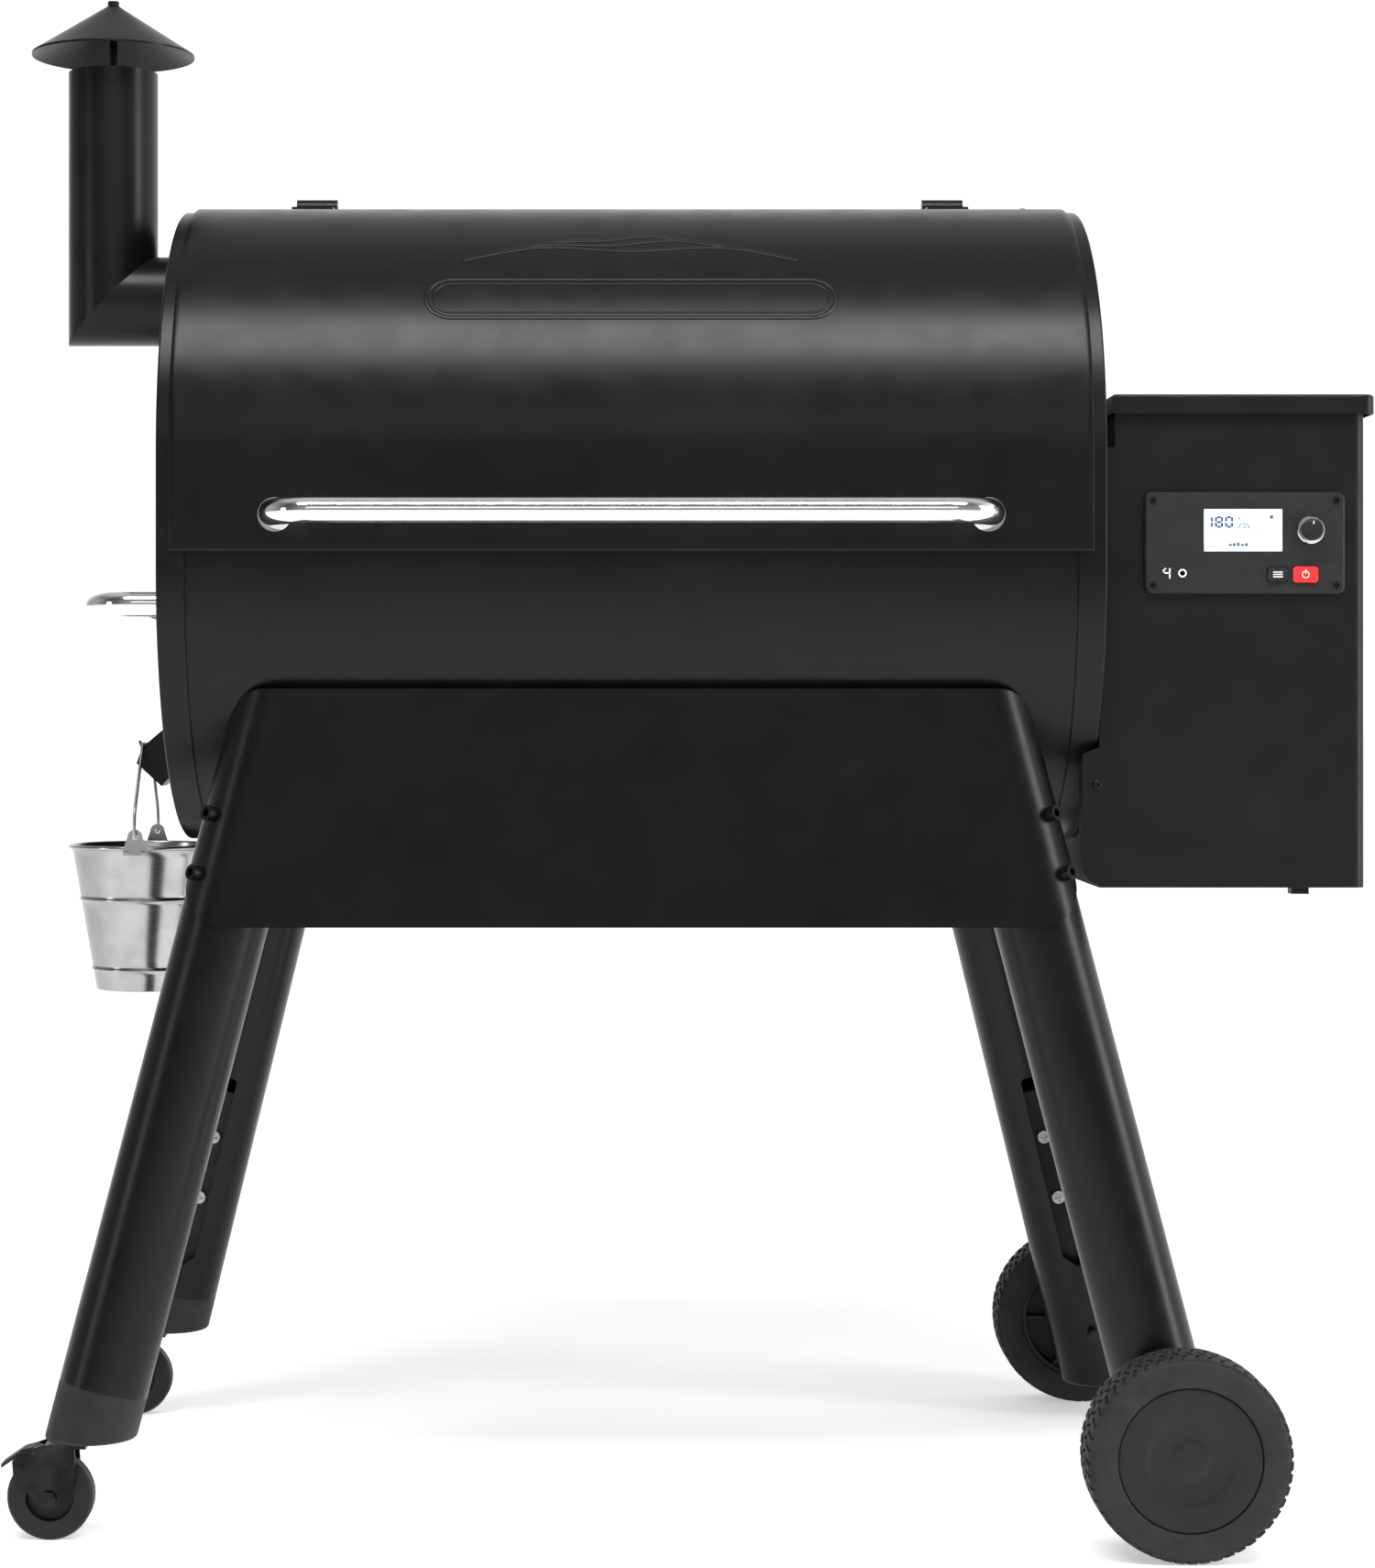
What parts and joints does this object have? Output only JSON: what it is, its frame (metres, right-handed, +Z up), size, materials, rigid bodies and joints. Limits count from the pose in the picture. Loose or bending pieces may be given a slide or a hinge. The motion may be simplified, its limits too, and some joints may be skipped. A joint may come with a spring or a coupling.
{
  "type": "pellet smoker grill",
  "caption": "Barrel-shaped pellet smoker grill with side hopper, flue, hinged lid, splayed tube legs, two wheels and two casters.",
  "frame": {"origin": "on the floor, below the middle of the grill's overall length and depth", "axes": "+X towards the pellet hopper, -Y towards the person at the lid handle, +Z up"},
  "size_m": [1.2354, 0.686, 1.403],
  "materials": {
    "powder_black": "semi-gloss black powder coat",
    "hopper_black": "satin black powder coat",
    "chrome": "polished chrome tube",
    "bright_steel": "brushed stainless steel",
    "zinc": "zinc plated steel",
    "bolt_black": "blackened steel fasteners",
    "moulded_black": "textured moulded plastic",
    "panel_plastic": "satin charcoal plastic",
    "knob_plastic": "soft-touch black plastic",
    "screen": "backlit display",
    "red_plastic": "red plastic",
    "tyre_rubber": "moulded rubber tread",
    "wheel_plastic": "moulded wheel plastic",
    "caster_rubber": "hard caster tread",
    "porcelain": "porcelain enamelled rod",
    "burner_steel": "heat tinted steel",
    "motor_can": "grey painted casing"
  },
  "bodies": {
    "root": {"barrel_shell": "powder_black", "left_end_cap": "powder_black", "right_end_cap": "powder_black", "front_apron": "powder_black", "rear_apron": "powder_black", "front_left_leg": "powder_black", "rear_left_leg": "powder_black", "front_right_leg": "powder_black", "rear_right_leg": "powder_black", "caster_sockets": "moulded_black", "wheel_mounts": "powder_black", "apron_bolts": "bolt_black", "leg_screws": "zinc", "wheel_axles": "bolt_black", "chimney_pipe": "powder_black", "chimney_rod": "bolt_black", "side_handle": "chrome", "grease_spout": "powder_black", "lid_hinge_brackets": "powder_black", "hopper_case": "hopper_black", "hopper_bin": "zinc", "hopper_hinge": "hopper_black", "control_panel": "panel_plastic", "display_module": "screen", "panel_screws": "bolt_black", "probe_jack": "moulded_black", "auger_tube": "zinc", "auger_motor": "motor_can", "fan_housing": "moulded_black", "power_inlet": "moulded_black", "fire_pot": "burner_steel", "igniter_rod": "burner_steel", "heat_baffle": "burner_steel", "drip_tray": "burner_steel", "main_grate": "porcelain", "upper_grate": "porcelain", "temperature_probe": "zinc"},
    "lid": {"lid_shell": "powder_black", "lid_handle": "chrome", "lid_hinge_leaves": "powder_black"},
    "flue_cap": {"chimney_cap": "powder_black"},
    "bail": {"bucket_bail": "zinc"},
    "bucket": {"drip_bucket": "bright_steel"},
    "hopper_cover": {"hopper_lid": "hopper_black"},
    "knob_stem": {"knob_shaft": "zinc"},
    "knob": {"control_knob": "knob_plastic"},
    "menu_key": {"menu_button": "panel_plastic"},
    "ignite_key": {"ignite_button": "red_plastic"},
    "auger": {"auger_screw": "burner_steel"},
    "fan": {"fan_impeller": "moulded_black"},
    "front_wheel": {"front_wheel_tyre": "tyre_rubber", "front_wheel_hub": "wheel_plastic"},
    "rear_wheel": {"rear_wheel_tyre": "tyre_rubber", "rear_wheel_hub": "wheel_plastic"},
    "front_fork": {"front_caster_fork": "bolt_black"},
    "front_roller": {"front_caster_wheel": "caster_rubber"},
    "front_brake": {"front_caster_brake": "moulded_black"},
    "rear_fork": {"rear_caster_fork": "bolt_black"},
    "rear_roller": {"rear_caster_wheel": "caster_rubber"},
    "rear_brake": {"rear_caster_brake": "moulded_black"}
  },
  "joints": [
    {"name": "lid_hinge", "type": "hinge", "parent": "root", "child": "lid", "pos_m": [-0.04425, 0.032, 1.205], "axis": [-1, 0, 0], "range_deg": [0, 128]},
    {"name": "cap_height", "type": "slide", "parent": "root", "child": "flue_cap", "axis": [0, 0, 1], "range_m": [-0.01, 0.02]},
    {"name": "bail_swing", "type": "hinge", "parent": "root", "child": "bail", "pos_m": [-0.50425, 0, 0.691], "axis": [0, 1, 0], "range_deg": [-1.5, 60]},
    {"name": "bucket_tilt", "type": "hinge", "parent": "bail", "child": "bucket", "pos_m": [-0.50425, 0, 0.605], "axis": [0, 1, 0], "range_deg": [-1.5, 40]},
    {"name": "hopper_lid_hinge", "type": "hinge", "parent": "root", "child": "hopper_cover", "pos_m": [0.49575, 0.207, 0.987], "axis": [-1, 0, 0], "range_deg": [0, 100]},
    {"name": "knob_push", "type": "slide", "parent": "root", "child": "knob_stem", "axis": [0, 1, 0], "range_m": [0, 0.0012], "stiffness_N_per_m": 600, "springref_m": -0.001},
    {"name": "knob_turn", "type": "hinge", "parent": "knob_stem", "child": "knob", "pos_m": [0.55915, -0.205, 0.883], "axis": [0, 1, 0], "continuous": true},
    {"name": "menu_press", "type": "slide", "parent": "root", "child": "menu_key", "axis": [0, 1, 0], "range_m": [0, 0.0012], "stiffness_N_per_m": 500, "springref_m": -0.001},
    {"name": "ignite_press", "type": "slide", "parent": "root", "child": "ignite_key", "axis": [0, 1, 0], "range_m": [0, 0.0012], "stiffness_N_per_m": 500, "springref_m": -0.001},
    {"name": "auger_spin", "type": "hinge", "parent": "root", "child": "auger", "pos_m": [0.25575, 0, 0.655], "axis": [1, 0, 0], "continuous": true},
    {"name": "fan_spin", "type": "hinge", "parent": "root", "child": "fan", "pos_m": [0.38675, -0.075, 0.68], "axis": [1, 0, 0], "continuous": true},
    {"name": "front_wheel_spin", "type": "hinge", "parent": "root", "child": "front_wheel", "pos_m": [0.42825, -0.318, 0.0885], "axis": [0, 1, 0], "continuous": true},
    {"name": "front_caster_swivel", "type": "hinge", "parent": "root", "child": "front_fork", "pos_m": [-0.52825, -0.248, 0.1], "axis": [0, 0, 1], "continuous": true},
    {"name": "front_caster_roll", "type": "hinge", "parent": "front_fork", "child": "front_roller", "pos_m": [-0.55125, -0.248, 0.0375], "axis": [0, 1, 0], "continuous": true},
    {"name": "front_caster_brake_press", "type": "hinge", "parent": "front_fork", "child": "front_brake", "pos_m": [-0.56425, -0.248, 0.077], "axis": [0, -1, 0], "range_deg": [0, 15]},
    {"name": "rear_wheel_spin", "type": "hinge", "parent": "root", "child": "rear_wheel", "pos_m": [0.42825, 0.318, 0.0885], "axis": [0, 1, 0], "continuous": true},
    {"name": "rear_caster_swivel", "type": "hinge", "parent": "root", "child": "rear_fork", "pos_m": [-0.52825, 0.248, 0.1], "axis": [0, 0, 1], "continuous": true},
    {"name": "rear_caster_roll", "type": "hinge", "parent": "rear_fork", "child": "rear_roller", "pos_m": [-0.55125, 0.248, 0.0375], "axis": [0, 1, 0], "continuous": true},
    {"name": "rear_caster_brake_press", "type": "hinge", "parent": "rear_fork", "child": "rear_brake", "pos_m": [-0.56425, 0.248, 0.077], "axis": [0, -1, 0], "range_deg": [0, 15]}
  ]
}
